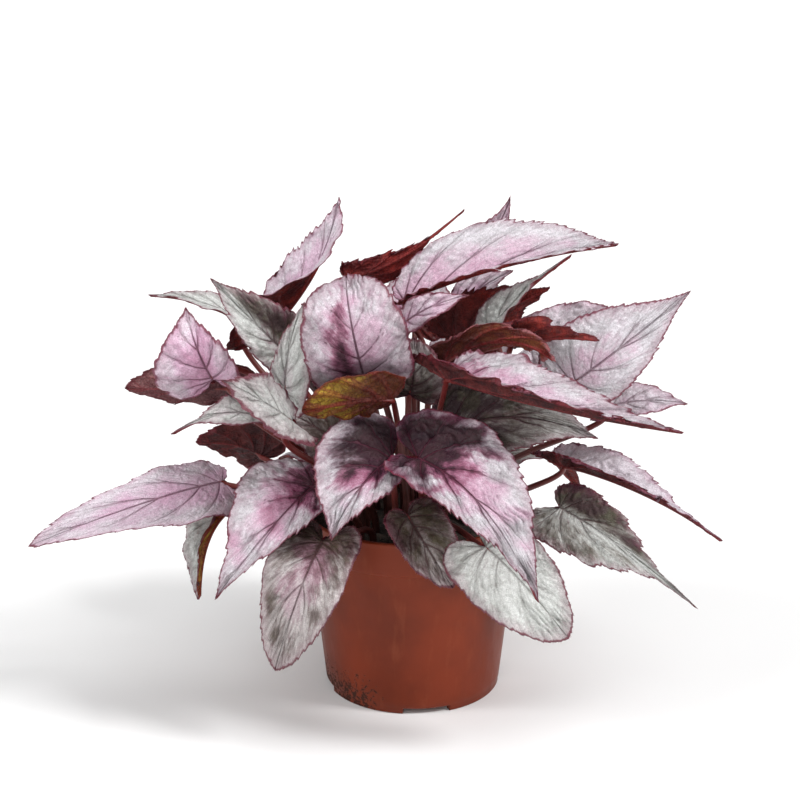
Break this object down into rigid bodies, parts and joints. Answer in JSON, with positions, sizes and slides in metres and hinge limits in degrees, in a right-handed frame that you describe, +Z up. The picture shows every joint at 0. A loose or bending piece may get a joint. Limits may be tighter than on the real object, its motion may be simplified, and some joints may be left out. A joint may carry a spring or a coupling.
{
  "type": "potted rex begonia",
  "caption": "Bushy painted-leaf begonia with pointed, toothed leaves on slim stems, rooted in soil in a tapered plastic pot with notched feet, for standing on a shelf or table.",
  "frame": {"origin": "middle of the plant's outline seen from above, on the surface that the pot's feet stand on", "axes": "+Z up along the pot's axis, +X to the picture's right along the plant's widest spread, -Y towards the picture's viewer"},
  "size_m": [0.3604, 0.2488, 0.2701],
  "materials": {
    "pot_plastic": "satin terracotta-coloured plastic",
    "potting_soil": "dark crumbly potting soil",
    "leaf_pink": "silvery pink leaf with a pearly sheen and dark red veins",
    "leaf_silver": "silvery green-grey leaf with dark veins",
    "leaf_plum": "dark plum leaf with silver patches",
    "leaf_wine": "leaf that shows its wine-red underside"
  },
  "bodies": {
    "root": {"pot": "pot_plastic", "soil": "potting_soil", "leaf_front_left": "leaf_pink", "leaf_front_right": "leaf_pink", "leaf_low_left": "leaf_pink", "leaf_rim_left": "leaf_silver", "leaf_rim_small": "leaf_plum", "leaf_rim_right": "leaf_silver", "leaf_far_left": "leaf_pink", "leaf_low_left_folded": "leaf_silver", "leaf_left_inner": "leaf_pink", "leaf_left_pale": "leaf_silver", "leaf_left_upright": "leaf_pink", "leaf_left_under": "leaf_wine", "leaf_left_sliver": "leaf_silver", "leaf_left_dark": "leaf_plum", "leaf_left_maroon": "leaf_wine", "leaf_left_crinkled": "leaf_plum", "leaf_centre_edge": "leaf_silver", "leaf_centre_tall": "leaf_pink", "leaf_centre_curled": "leaf_wine", "leaf_centre_dark": "leaf_plum", "leaf_centre_small": "leaf_pink", "leaf_centre_strip": "leaf_pink", "leaf_top_left": "leaf_pink", "leaf_top_wine": "leaf_wine", "leaf_top_right": "leaf_pink", "leaf_top_spike": "leaf_pink", "leaf_right_wine": "leaf_wine", "leaf_right_blade": "leaf_silver", "leaf_right_wine_point": "leaf_wine", "leaf_right_frill": "leaf_wine", "leaf_right_long": "leaf_pink", "leaf_right_broad": "leaf_pink", "leaf_right_behind": "leaf_silver", "leaf_right_silver": "leaf_silver", "leaf_right_dark": "leaf_plum", "leaf_right_drip": "leaf_silver", "leaf_low_right": "leaf_silver", "leaf_back_low_1": "leaf_silver", "leaf_back_low_2": "leaf_pink", "leaf_back_low_3": "leaf_pink", "leaf_back_low_4": "leaf_silver", "leaf_back_low_5": "leaf_pink", "leaf_back_mid_1": "leaf_pink", "leaf_back_mid_2": "leaf_pink", "leaf_back_mid_3": "leaf_silver", "leaf_back_mid_4": "leaf_pink", "leaf_back_mid_5": "leaf_plum", "leaf_back_high_1": "leaf_silver", "leaf_back_high_2": "leaf_pink", "leaf_back_high_3": "leaf_pink"}
  },
  "joints": []
}
